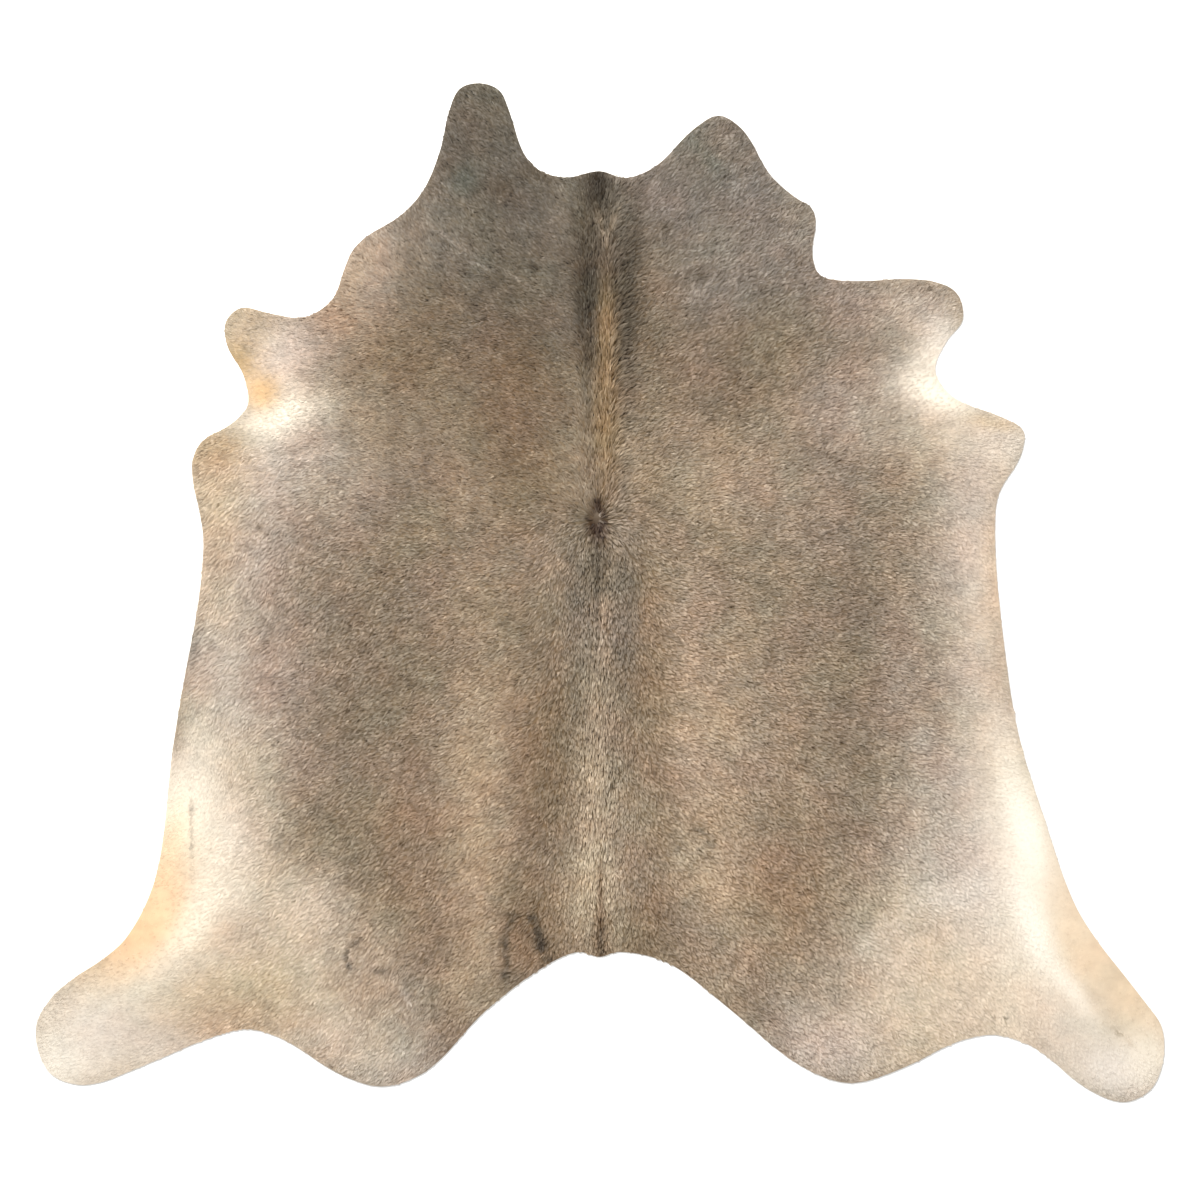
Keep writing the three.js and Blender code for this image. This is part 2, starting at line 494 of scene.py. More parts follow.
# %% Hair colours
HAIR_COLOURS = {
    "bark": "#3d2d22", "charcoal": "#473f36", "peat": "#51483c", "umber": "#5f5446", "smoke": "#67685f",
    "slate": "#6f675c", "ash": "#857c72", "stone": "#8e8478", "brown": "#836d56", "mouse": "#90806e",
    "taupe": "#998975", "chestnut": "#9c8269", "fawn": "#a8957f", "golden": "#a58863", "tan": "#b7a28a",
    "russet": "#ad8d74", "rosy": "#b2a091", "lavender": "#b5a89c", "buff": "#c0a98f", "pinkish": "#c6b8aa",
    "sand": "#c9b69b", "biscuit": "#d6c5b0", "oat": "#d0c6b7", "cloud": "#dcd3c7", "cream": "#e0d5c4",
    "ivory": "#e8decc", "milk": "#eee6d8", "straw": "#d7c1a6", "peach": "#e3c09a", "apricot": "#d2ae82",
}
hair_paint = {name: srgb(value) for name, value in HAIR_COLOURS.items()}

# %% Pale borders and hind quarters
# Each row: place, colour, x, y, across, along, turn, strength
BORDERS = [
    ("left border", "pinkish", -750, 40, 145, 385, 0, 0.72),
    ("right border", "pinkish", 765, -15, 135, 400, 0, 0.78),
    ("right belly edge", "biscuit", 800, -60, 55, 200, 0, 0.4),
    ("left hind quarter", "biscuit", -850, -830, 420, 190, 12, 1),
    ("right hind quarter", "biscuit", 835, -800, 385, 245, -10, 1),
]

# %% Neck and withers
NECK = [
    ("neck left", "slate", -195, 900, 255, 305, 0, 1),
    ("neck left lobe", "slate", -250, 960, 80, 120, 0, 0.6),
    ("left withers", "slate", -165, 635, 205, 190, 10, 0.68),
    ("left neck side", "stone", -395, 750, 120, 100, -35, 0.6),
    ("neck right", "ash", 215, 810, 265, 265, 0, 1),
    ("neck right, middle", "stone", 190, 680, 100, 60, 10, 0.6),
    ("neck right, edge", "lavender", 405, 745, 60, 80, 0, 0.5),
    ("right withers", "stone", 295, 615, 265, 195, 0, 0.7),
    ("left lobe root, cool", "smoke", -278, 838, 32, 34, 0, 0.7),
    ("left lobe root, dark", "umber", -195, 826, 28, 24, 0, 0.5),
    ("left neck, dark", "umber", -128, 855, 44, 18, 0, 0.5),
    ("right lobe, cool stripe", "smoke", 212, 892, 15, 52, 42, 0.4),
    ("left brown shoulder", "brown", -385, 500, 155, 120, 0, 0.42),
    ("left brown mane", "brown", -170, 375, 88, 210, 0, 0.62),
    ("right brown mane", "brown", 100, 575, 70, 165, 0, 0.45),
    ("right brown shoulder", "brown", 280, 470, 175, 100, 15, 0.4),
]

# %% Shoulders and forelegs
SHOULDERS = [
    ("left shoulder edge", "rosy", -490, 635, 80, 120, -20, 0.95),
    ("left shoulder russet", "russet", -540, 560, 55, 55, 0, 0.6),
    ("left shoulder rim", "buff", -490, 668, 32, 70, -30, 0.55),
    ("left shoulder pale", "pinkish", -640, 510, 90, 85, 0, 0.7),
    ("left chest", "pinkish", -650, 370, 105, 120, -20, 0.6),
    ("left front ribs", "pinkish", -640, 250, 155, 100, 0, 0.85),
    ("left ribs", "rosy", -550, 170, 120, 155, 0, 0.45),
    ("left foreleg", "sand", -750, 515, 85, 100, 0, 0.75),
    ("left foreleg inside", "pinkish", -655, 475, 50, 75, -15, 0.8),
    ("left foreleg light", "biscuit", -636, 415, 34, 50, 0, 0.4),
    ("left armpit, edge", "cream", -636, 362, 104, 48, 18, 0.6),
    ("left armpit", "ivory", -652, 358, 74, 30, 20, 0.7),
    ("left foreleg lobe", "fawn", -735, 505, 68, 62, 0, 0.5),
    ("left foreleg rim", "golden", -740, 466, 34, 42, 15, 0.8),
    ("left foreleg bend", "apricot", -688, 410, 36, 38, 0, 0.9),
    ("left elbow", "sand", -785, 250, 80, 100, 0, 0.9),
    ("left elbow point", "buff", -795, 285, 52, 42, 0, 0.75),
    ("left elbow warm", "golden", -785, 288, 60, 34, 20, 0.3),
    ("left behind elbow", "buff", -795, 70, 55, 170, 0, 0.85),
    ("right chest", "rosy", 500, 385, 140, 90, 10, 0.7),
    ("right ribs light", "rosy", 440, 190, 120, 120, 0, 0.45),
    ("right shoulder pale", "rosy", 545, 565, 90, 65, 0, 0.45),
    ("right chest light", "pinkish", 575, 335, 90, 60, 0, 0.4),
    ("right foreleg", "pinkish", 655, 575, 95, 80, 0, 0.7),
    ("right foreleg notch", "cloud", 692, 500, 44, 66, 0, 0.8),
    ("right armpit", "biscuit", 735, 330, 130, 62, 12, 0.6),
    ("right chest edge", "pinkish", 610, 425, 60, 80, 0, 0.4),
    ("right foreleg light", "cream", 662, 450, 42, 66, 0, 0.65),
    ("right foreleg bend, edge", "cream", 672, 408, 100, 48, -18, 0.55),
    ("right foreleg bend", "ivory", 690, 402, 72, 28, -22, 0.85),
    ("right elbow", "oat", 835, 305, 60, 75, 0, 0.9),
    ("right foreleg strip", "sand", 800, 346, 56, 15, -10, 0.9),
    ("right behind elbow", "pinkish", 765, 210, 80, 90, 0, 0.45),
]

# %% Sides, loins and ribs
SIDES = [
    ("left belly edge", "pinkish", -785, -115, 70, 185, 5, 0.6),
    ("left belly inner", "pinkish", -728, -170, 52, 120, 0, 0.5),
    ("left side", "mouse", -520, -95, 165, 225, 0, 0.5),
    ("right side", "mouse", 510, -95, 155, 265, 0, 0.5),
    ("left side light", "rosy", -640, -190, 80, 230, 0, 0.6),
    ("right side light", "rosy", 612, -210, 60, 230, 0, 0.45),
    ("left tan back", "fawn", -255, -35, 120, 265, 0, 0.8),
    ("left grey rib", "mouse", -365, 5, 80, 165, 0, 0.3),
    ("left tan loin", "tan", -255, -445, 90, 265, 0, 0.85),
    ("left tan back low", "buff", -222, -270, 55, 130, 0, 0.55),
    ("left tan rump", "buff", -255, -700, 55, 170, 0, 0.55),
    ("left tan loin light", "buff", -250, -470, 58, 180, 0, 0.45),
    ("left loin light", "tan", -420, -400, 90, 80, 0, 0.45),
    ("left chestnut back", "chestnut", -140, -330, 45, 150, 0, 0.5),
    ("left chestnut tail", "chestnut", -155, -630, 45, 120, 0, 0.5),
    ("right tan shoulder", "tan", 255, 230, 110, 90, 15, 0.75),
    ("right tan back", "tan", 205, -300, 110, 265, 0, 0.9),
    ("right tan belt", "fawn", 185, 65, 90, 165, 0, 0.5),
    ("right tan side", "fawn", 365, -260, 120, 225, 0, 0.6),
    ("right tan loin", "tan", 255, -585, 100, 120, 0, 0.8),
    ("right back shade", "brown", 122, -300, 30, 270, 0, 0.35),
    ("right tan loin light", "buff", 245, -545, 60, 60, 0, 0.55),
    ("left chestnut loin", "chestnut", -395, -500, 76, 150, -10, 0.5),
    ("left chestnut hip", "chestnut", -345, -685, 80, 100, 0, 0.4),
    ("right chestnut loin", "chestnut", 380, -605, 95, 150, 0, 0.65),
    ("left tail side", "brown", -110, -695, 70, 80, 0, 0.5),
]

# %% Flanks
FLANKS = [
    ("left flank", "ivory", -842, -458, 110, 148, 5, 0.86),
    ("left flank upper", "cream", -790, -300, 90, 80, 0, 0.35),
    ("left flank edge", "biscuit", -700, -430, 70, 170, 0, 0.7),
    ("left fold", "biscuit", -640, -622, 160, 85, -25, 0.84),
    ("left thigh top", "cream", -748, -625, 56, 45, 0, 0.5),
    ("left flank bare", "peach", -935, -680, 150, 112, 45, 1),
    ("left flank warm edge", "peach", -885, -545, 40, 110, -15, 0.6),
    ("left leg light", "ivory", -832, -695, 40, 170, -38, 0.65),
    ("left flank fold light", "cream", -745, -500, 40, 80, 0, 0.5),
    ("left flank band", "ivory", -800, -585, 34, 105, -22, 0.55),
    ("right flank upper", "biscuit", 778, -318, 74, 110, 10, 0.6),
    ("right belly rim", "buff", 812, 30, 36, 190, 0, 0.6),
    ("right flank rim", "cream", 835, -330, 34, 110, 14, 0.6),
    ("right flank spot", "pinkish", 652, -300, 32, 32, 0, 0.5),
    ("right flank", "ivory", 862, -480, 72, 150, 18, 1),
    ("right flank inner", "cream", 790, -532, 70, 130, 12, 0.8),
    ("right leg inside", "cream", 872, -665, 130, 140, 20, 0.9),
    ("right leg edge", "straw", 1022, -745, 80, 205, 31, 1),
    ("right flank bright", "milk", 868, -500, 32, 110, 16, 0.7),
    ("right leg band", "milk", 878, -670, 34, 130, 20, 0.85),
    ("right flank grey", "pinkish", 705, -495, 95, 175, 10, 0.8),
    ("right fold", "cloud", 715, -608, 100, 46, 6, 0.72),
    ("right flank, low", "pinkish", 670, -555, 95, 50, 0, 0.5),
    ("right fold, left end", "oat", 575, -690, 100, 26, 38, 0.55),
]

# %% Hind legs and rump
LEGS = [
    ("left leg", "oat", -1035, -905, 200, 105, 15, 0.95),
    ("left leg tip", "milk", -1110, -970, 70, 55, 0, 0.5),
    ("left leg crook", "oat", -905, -812, 130, 36, 28, 0.8),
    ("left leg shade", "pinkish", -910, -880, 125, 54, 5, 0.85),
    ("left thigh", "sand", -730, -830, 165, 86, 0, 1),
    ("left thigh rump", "biscuit", -570, -830, 55, 110, 10, 0.4),
    ("left thigh fold", "biscuit", -610, -660, 30, 110, -40, 0.5),
    ("left thigh shade", "fawn", -500, -740, 55, 85, 10, 0.35),
    ("left rump", "lavender", -405, -910, 80, 105, 0, 0.6),
    ("left rump inner edge", "tan", -262, -825, 48, 95, 20, 0.7),
    ("right rump inner edge", "tan", 262, -805, 48, 95, -20, 0.6),
    ("left rump edge", "pinkish", -440, -965, 100, 55, 0, 0.8),
    ("left rump hem", "biscuit", -510, -915, 110, 66, -10, 0.65),
    ("left rump spot", "sand", -450, -820, 45, 70, 0, 0.4),
    ("left thigh edge", "buff", -745, -870, 110, 48, 0, 0.8),
    ("right thigh", "sand", 730, -790, 110, 60, 0, 0.25),
    ("right thigh inner", "biscuit", 615, -740, 66, 100, 0, 0.65),
    ("right rump", "lavender", 415, -900, 75, 110, 0, 0.6),
    ("right rump hem", "biscuit", 575, -900, 165, 95, 0, 0.7),
    ("right rump edge", "pinkish", 480, -935, 90, 70, 0, 0.7),
    ("right leg", "oat", 1000, -900, 100, 80, -20, 0.6),
    ("right leg ridge", "milk", 955, -800, 22, 75, 35, 0.6),
    ("right leg rim", "straw", 1100, -850, 60, 100, 30, 0.7),
    ("right leg tip", "cloud", 1060, -975, 115, 62, 0, 0.9),
    ("right leg tip light", "ivory", 1115, -950, 50, 70, -10, 0.6),
]

# %% The back line
BACK = [
    ("left spine band", "brown", -95, -340, 42, 260, 0, 0.55),
    ("right spine band", "brown", 80, -115, 45, 265, 0, 0.5),
    ("right spine band low", "brown", 90, -685, 60, 120, 0, 0.5),
    ("spine upper", "umber", 0, 655, 55, 195, 0, 0.6),
    ("upper left band", "peat", -28, 630, 27, 195, 2, 0.65),
    ("upper right band", "peat", 58, 615, 30, 195, -3, 0.68),
    ("neck tip", "charcoal", -6, 825, 24, 45, 0, 1),
    ("beside the mane, right", "tan", 55, 250, 45, 80, 0, 0.6),
    ("beside the mane, left", "tan", -45, 250, 45, 70, 0, 0.35),
    ("golden strip, upper", "golden", 11, 535, 18, 105, 0, 0.7),
    ("golden tip, left", "tan", 4, 735, 6, 52, 14, 0.5),
    ("golden tip, right", "tan", 24, 745, 6, 42, -16, 0.45),
    ("golden strip", "golden", 10, 350, 26, 140, 0, 0.7),
    ("below whorl, left band", "slate", -48, 15, 24, 110, 0, 0.65),
    ("below whorl, right band", "slate", 52, -30, 28, 150, 0, 0.75),
    ("below whorl", "umber", -2, 60, 22, 76, 0, 0.8),
    ("whorl", "bark", -5, 140, 18, 31, 0, 1),
    ("whorl top", "bark", -5, 172, 8, 18, 0, 0.8),
    ("below whorl, light", "fawn", 7, -40, 12, 100, 0, 0.4),
    ("below whorl, parting", "umber", -5, -10, 4, 100, 0, 0.5),
    ("spine left band", "mouse", -55, -180, 20, 265, 0, 0.5),
    ("spine right band", "mouse", 55, -95, 20, 225, 0, 0.4),
    ("spine pale, upper", "tan", -8, -300, 32, 150, 0, 0.55),
    ("spine pale", "sand", -8, -530, 42, 180, 0, 0.7),
    ("spine pale, foot", "sand", -6, -610, 78, 105, 0, 0.5),
    ("parting", "brown", 1, -655, 8, 105, 0, 0.9),
    ("parting foot", "brown", 1, -700, 18, 52, 0, 0.85),
    ("parting end", "umber", 2, -712, 7, 38, 0, 0.6),
]

# %% [markdown]
# ## Small marks
# A real hide keeps the marks of a life outdoors: scratches, a few dark spots, and a patch by the tail where
# the hair grew back dark and rough. Thin pale lines along the folds of the neck and chest are painted
# highlights on the folds' ridges.

# %% Marks
MARKS = [
    ("left neck spot", "charcoal", -134, 664, 14, 9, 0, 0.65),
    ("right neck spot", "umber", 130, 745, 18, 13, 0, 0.55),
    ("right withers spot", "umber", 202, 642, 13, 15, 0, 0.5),
    ("right foreleg spot", "umber", 673, 619, 14, 4, 20, 0.6),
    ("left flank vein", "ash", -832, -500, 3, 70, 0, 0.35),
    ("left flank vein spot", "stone", -832, -440, 7, 16, 0, 0.45),
    ("left belly streak", "stone", -838, -105, 22, 60, -8, 0.5),
    ("left flank rim streak", "mouse", -860, -270, 14, 50, -8, 0.5),
    ("right leg scratch", "brown", 1060, -900, 3, 34, 50, 0.35),
    ("right thigh tick, left", "umber", 800, -872, 3, 9, -15, 0.5),
    ("right thigh tick, right", "umber", 826, -868, 3, 9, -15, 0.4),
    ("left hip scratch, top", "umber", -495, -710, 17, 5, 33, 0.7),
    ("left hip scratch, middle", "umber", -514, -734, 4, 17, -15, 0.8),
    ("left hip scratch, foot", "slate", -510, -756, 5, 16, 20, 0.6),
    ("left hip dash", "umber", -449, -770, 14, 5, 0, 0.6),
    ("right loin dashes", "umber", 200, -484, 22, 7, -30, 0.5),
    ("right loin dashes, low", "umber", 226, -510, 13, 6, -10, 0.45),
    ("left belly dash, upper", "umber", -693, 133, 6, 8, 0, 0.5),
    ("left thigh scar", "pinkish", -392, -825, 8, 24, 25, 0.5),
    ("left thigh scar line", "brown", -378, -812, 3, 20, 25, 0.5),
    ("tail patch, inside", "chestnut", -158, -715, 24, 50, 5, 0.7),
    ("tail patch, left top", "umber", -181, -673, 8, 17, -20, 0.8),
    ("tail patch, left", "umber", -192, -712, 9, 23, -5, 0.8),
    ("tail patch, left low", "umber", -188, -750, 7, 18, 10, 0.75),
    ("tail patch, left foot", "peat", -191, -780, 8, 13, 0, 0.7),
    ("tail patch, top", "umber", -170, -654, 18, 7, -8, 0.55),
    ("tail patch, top right", "umber", -137, -662, 12, 10, 30, 0.75),
    ("tail patch, right", "peat", -124, -690, 9, 21, 15, 0.85),
    ("tail patch, right spots", "charcoal", -118, -717, 13, 15, 10, 0.9),
    ("tail patch, foot", "umber", -104, -744, 13, 11, 0, 0.75),
    # Painted highlights: pale lines on the ridges of the neck folds.
    ("left neck crease, outer", "lavender", -312, 724, 46, 3, -37, 0.4),
    ("left neck crease, middle", "lavender", -240, 664, 30, 3, -22, 0.4),
    ("left neck crease, inner", "lavender", -158, 632, 52, 3, -34, 0.4),
    ("right neck crease", "lavender", 172, 658, 62, 3, 18, 0.4),
    # Painted highlights: pale lines on the ridges of the chest folds.
    ("left chest wrinkle, upper", "pinkish", -610, 270, 125, 7, 7, 0.5),
    ("left chest wrinkle, lower", "pinkish", -640, 209, 60, 6, 11, 0.45),
    ("bare skin in the whorl", "milk", -6, 152, 6, 11, 0, 1.0),
]


def coat_colour_with_painted_shading(x, y):
    """The hair's sRGB colour at each place, with painted highlights along the folds."""
    rows = BORDERS + NECK + SHOULDERS + SIDES + FLANKS + LEGS + BACK + MARKS
    return lay_places(x, y, hair_paint["taupe"], rows, hair_paint)


# %% [markdown]
# ## Locks of hair
# Single hairs are a tenth of a millimetre thick, far too fine and too many to build. But a cow's hair lies
# in small locks of a few millimetres, and those are what the eye sees. Each lock is a handful of long thin
# triangles: wide and dark at the root, pointed and lighter at the tip, drawn together towards one tip. They
# overlap like shingles. A blade is as wide as some fifteen hairs, drawn coarser than real hair on purpose.
# Working on whole arrays of roots and tips builds them all at once.

# %% Where the locks grow
LOCK_PITCH = 5.7 * MM
LOCK_SPAN = (2.4, 2.2)  # metres that their grid covers
BARE_EDGE = 1.0 * MM  # no lock grows closer to the cut edge
BLADES = 8  # in each lock
LOCK_SPREAD = 2.8 * MM
BLADE_WIDTH = 1.5 * MM
COAT_RISE = 3.4 * MM  # how high the tips of the body coat lie above the skin
OVERHANG = 0.2 * MM  # how far tips may reach past the cut edge
random = np.random.default_rng(11)


def lock_middles():
    """Middles of the locks, on an uneven grid over the hide, thinned where the cover is thin."""
    x, y = triangle_grid(LOCK_SPAN, LOCK_PITCH)
    x += random.uniform(-0.5, 0.5, x.size) * LOCK_PITCH
    y += random.uniform(-0.5, 0.5, y.size) * LOCK_PITCH
    chance = random.uniform(0, 1, x.size)
    keep = (inset(x, y) > BARE_EDGE) & (chance < lay_places(x, y, 1.0, COVER))
    return x[keep], y[keep]


lock_x, lock_y = lock_middles()
lock_length = lay_places(lock_x, lock_y, BODY_LENGTH, LENGTHS) * MM
print(len(lock_x), "locks,", len(lock_x) * BLADES, "blades, up to", lock_length.max() / MM, "mm long")

# %% [markdown]
# ## One array for all blades
# The lean of neighbouring locks drifts a little, by slow waves, and each lock and blade strays from it at
# random: a lot on the body, where the coat is rubbed up, and little along the spine and on the short hair.
# Tips that would hang over the cut edge are drawn back, since the edge is trimmed.

# %% Build the blades
BODY_STRAY = 17.0  # degrees, the spread of the locks' directions
BLADE_STRAY = 0.45  # the spread of the blades in a lock, as a share of it
DRIFT = 0.6  # how far the slow waves turn the hair, as a share of it
DRIFT_WAVES = [(61, 37, 0.0), (-43, 71, 1.3), (113, -29, 2.1)]  # along x, along y, start
CLUMPING = 0.35  # how far the blades of a lock are drawn to one tip
LOCK_LENGTHS = (0.8, 1.15)  # least and most, as shares of the usual, here and below
BLADE_LENGTHS = (0.85, 1.1)
BLADE_WIDTHS = (0.7, 1.3)
TIP_HEIGHTS = (0.45, 1.1)
THINNEST = 0.7  # the width of the shortest hair, as a share of the body's
FULLEST = 1.35  # times the body's length: longer hair is no wider or higher
ROLL = 0.25  # how much one side of a root is raised, as a share of the blade's width
FLAT_ROLL = 0.35  # what is left of it where the hair lies flat
ROOT_HEIGHT = 0.1 * MM
TRIM = 1.3  # how far a tip is drawn back, as a share of how far it is past the edge
SHORTEST = 0.25  # what trimming leaves of a blade at least
EDGE_FALL = 10 * MM  # within this distance the coat gets lower
EDGE_HEIGHT = 0.35  # its height at the edge, as a share
LOWEST = 0.2  # and past it

# Rows as above, with a stray in degrees
STRAYS = [
    ("neck", 14.0, 0, 780, 380, 300, 0, 0.8),
    ("left border", 10.0, -820, 60, 90, 420, 0, 0.8),
    ("right border", 10.0, 820, 60, 100, 420, 0, 0.8),
    ("left flank", 9.0, -850, -480, 110, 260, 8, 0.9),
    ("right flank", 9.0, 890, -500, 110, 260, 18, 0.9),
    ("left hind leg", 9.0, -860, -860, 400, 210, 10, 0.9),
    ("right hind leg", 9.0, 840, -830, 400, 220, -10, 0.9),
    ("mane", 8.0, 12, 480, 50, 330, 0, 0.9),
    ("back line", 4.0, -4, -330, 50, 480, 0, 0.95),
    ("whorl", 5.0, -6, 148, 50, 50, 0, 0.9),
]


def drift(x, y):
    """Slow waves in the hair's direction, from -1 to 1."""
    return sum(np.sin(across * x + along * y + start) for across, along, start in DRIFT_WAVES) / 3


def build_blades(x, y, length):
    """Roots (left and right) and tips of every blade, each as an array of lock, blade and x, y, z."""
    flow_x, flow_y = hair_direction(x, y)
    stray = np.radians(lay_places(x, y, BODY_STRAY, STRAYS))
    angle = np.arctan2(flow_y, flow_x) + stray * (DRIFT * drift(x, y) + random.normal(0, 1, x.size))
    length = length * random.uniform(*LOCK_LENGTHS, x.size)
    tip_x, tip_y = x + length * np.cos(angle), y + length * np.sin(angle)

    shape = (x.size, BLADES)
    away = LOCK_SPREAD * np.sqrt(random.uniform(0, 1, shape))
    round_about = random.uniform(0, 2 * math.pi, shape)
    root_x = x[:, None] + away * np.cos(round_about)
    root_y = y[:, None] + away * np.sin(round_about)
    blade_angle = angle[:, None] + BLADE_STRAY * stray[:, None] * random.normal(0, 1, shape)
    blade_length = length[:, None] * random.uniform(*BLADE_LENGTHS, shape)
    end_x = (1 - CLUMPING) * (root_x + blade_length * np.cos(blade_angle)) + CLUMPING * tip_x[:, None]
    end_y = (1 - CLUMPING) * (root_y + blade_length * np.sin(blade_angle)) + CLUMPING * tip_y[:, None]

    past_edge = (-inset(end_x, end_y) - OVERHANG).clip(0)
    run_x, run_y = end_x - root_x, end_y - root_y
    run = np.hypot(run_x, run_y) + TINY
    kept = ((run - TRIM * past_edge) / run).clip(SHORTEST, 1)
    end_x, end_y = root_x + kept * run_x, root_y + kept * run_y

    fullness = (length / (BODY_LENGTH * MM)).clip(0, FULLEST)[:, None] ** 2
    width = BLADE_WIDTH * random.uniform(*BLADE_WIDTHS, shape) * (THINNEST + (1 - THINNEST) * fullness)
    aside_x, aside_y = -run_y / run * width / 2, run_x / run * width / 2
    standing = lay_places(x, y, 1.0, RISES)[:, None]
    rolling = fullness.clip(0, 1) * (FLAT_ROLL + (1 - FLAT_ROLL) * standing)
    roll = random.normal(0, ROLL, shape) * width * rolling
    base = skin_height(root_x, root_y) + ROOT_HEIGHT
    rise = COAT_RISE * fullness * random.uniform(*TIP_HEIGHTS, shape) * standing
    rise *= (EDGE_HEIGHT + inset(end_x, end_y) / EDGE_FALL).clip(LOWEST, 1)
    end_z = skin_height(end_x, end_y) + rise
    left = np.stack([root_x + aside_x, root_y + aside_y, base + roll.clip(0)], -1)
    right = np.stack([root_x - aside_x, root_y - aside_y, base + (-roll).clip(0)], -1)
    return left, right, np.stack([end_x, end_y, end_z], -1)


left_root, right_root, tip = build_blades(lock_x, lock_y, lock_length)
print("highest tip", (tip[..., 2].max() / MM).round(1), "mm above the floor")

# %% [markdown]
# ## Colour of each blade
# A lock takes the colour of its place, a little lighter or darker than its neighbours. A few blades are much
# darker, in loose groups: painted shade that stands for the dark gaps between locks. The roots are darker
# and
# the tips lighter: painted shade where the locks cover each other, and painted light on the tips. All this
# is added to the sRGB numbers alike, which makes the light tips paler and leaves the dark roots a warmer
# brown. Pale hair lets light through, so there the same steps are much smaller.

# %% Colour the blades
LOCK_TONE = 0.032  # the spread of lightness from lock to lock
BLADE_TONE = 0.030  # and from blade to blade
WARMTH = 0.001  # the spread from cool to warm
PAINTED_ROOT_SHADE = 0.085  # painted shade: how much darker the roots are, where the locks cover each other
PAINTED_TIP_LIGHT = 0.012  # painted light: how much lighter the tips are
DARKEST = 0.05  # no hair is darker
# Painted shade: a few much darker blades stand for the shaded gaps between locks.
FLECKS = 0.075  # the share of blades that are much darker
FLECK_DEPTH = 0.36  # how much darker at most
FLECK_SPREAD = (0.4, 1)  # least and most, as shares of that
GROUPING = 1.2  # how unevenly they are spread
GROUP_SCALE = 1.7  # beside the slow waves of the hair's direction
LIGHTNESS = (0.3, 0.59, 0.11)  # how much red, green and blue count
PALE_FROM = 0.60  # from this lightness on, the shading fades
PALE_TO = 0.93
PALE_SHARE = 0.15  # how much of the shading is left on the palest hair

# Rows as above, with a share of the body's shading
SHARES = [
    ("left side", 1.15, -380, -80, 260, 380, 0, 0.9),
    ("left shoulder", 0.75, -520, 420, 200, 220, 0, 0.9),
    ("left foreleg", 0.3, -720, 430, 90, 130, 0, 0.9),
    ("right chest", 0.75, 600, 400, 200, 220, 0, 0.8),
    ("right foreleg", 0.3, 720, 430, 120, 150, 0, 0.9),
    ("neck", 0.8, 0, 800, 400, 260, 0, 0.8),
    ("left border", 0.7, -790, 60, 110, 330, 0, 0.9),
    ("right border", 0.2, 810, 40, 120, 330, 0, 0.9),
    ("left thigh", 1.0, -620, -850, 200, 150, 0, 0.8),
    ("left leg", 0.25, -1040, -900, 220, 150, 0, 0.95),
    ("left flank", 0.1, -860, -480, 130, 280, 5, 0.95),
    ("right flank", 0.1, 900, -560, 120, 300, 20, 0.95),
    ("right thigh", 0.95, 760, -820, 170, 140, 0, 0.8),
    ("right leg", 0.25, 1040, -880, 170, 150, 0, 0.9),
    ("mane", 1.45, 10, 450, 36, 300, 0, 0.9),
    ("back line", 1.6, -4, -350, 36, 460, 0, 0.95),
]


def shading_share(x, y, paint):
    """How strongly hair of this colour at this place is shaded."""
    lightness = paint @ np.array(LIGHTNESS)
    pale = ((lightness - PALE_FROM) / (PALE_TO - PALE_FROM)).clip(0, 1)
    return lay_places(x, y, 1.0, SHARES) * (1 + (PALE_SHARE - 1) * pale * pale * (3 - 2 * pale))


def blade_colours(x, y):
    """Linear colours for the two roots and the tip of every blade, with their painted shade and light."""
    paint = coat_colour_with_painted_shading(x, y)
    share = shading_share(x, y, paint)[:, None]
    shape = (x.size, BLADES)
    tone = LOCK_TONE * random.normal(0, 1, (x.size, 1)) + BLADE_TONE * random.normal(0, 1, shape)
    # Painted shade: dark blades in loose groups, for the gaps between locks.
    chance = FLECKS * (1 + GROUPING * drift(GROUP_SCALE * y, GROUP_SCALE * x))[:, None]
    tone -= FLECK_DEPTH * (random.uniform(0, 1, shape) < chance) * random.uniform(*FLECK_SPREAD, shape)
    warm = WARMTH * random.normal(0, 1, (x.size, 1, 1)) * np.array([1.0, 0.0, -1.0])
    # The roots get painted shade and the tips painted light.
    root = paint[:, None] + warm + (share * (tone - PAINTED_ROOT_SHADE))[..., None]
    end = paint[:, None] + warm + (share * (tone + PAINTED_TIP_LIGHT))[..., None]
    return linear(root.clip(DARKEST, 1)), linear(end.clip(DARKEST, 1))


root_colour, tip_colour = blade_colours(lock_x, lock_y)

# %% [markdown]
# ## Five coat pieces
# One mesh of all blades would be heavy to handle, so the coat is split by region into five joined meshes.
# Each stores its colours on its points, and a flat map from above for baking.

# %% Join the blades of each region
BAKE_MAP = "OFBake"
NECK_LINE = 380 * MM
HIND_LINE = -360 * MM


def seen_from_above(mesh, low, high):
    """Where each face corner lies between low and high, from 0 to 1, and its height."""
    corner = np.empty(len(mesh.loops), np.int32)
    mesh.loops.foreach_get("vertex_index", corner)
    place = np.empty(len(mesh.vertices) * 3, np.float32)
    mesh.vertices.foreach_get("co", place)
    place = place.reshape(-1, 3)[corner]
    return (place[:, :2] - low) / (high - low), place[:, 2]


def store_map(mesh, uv):
    mesh.uv_layers.new(name=BAKE_MAP).uv.foreach_set("vector", uv.astype(np.float32).ravel())


def store_colours(mesh, colours):
    """Linear colours, one for each point of the mesh."""
    shade = mesh.color_attributes.new("coat_colour_with_painted_shading", "FLOAT_COLOR", "POINT")
    with_alpha = np.column_stack([colours, np.ones(len(colours))])
    shade.data.foreach_set("color", with_alpha.astype(np.float32).ravel())


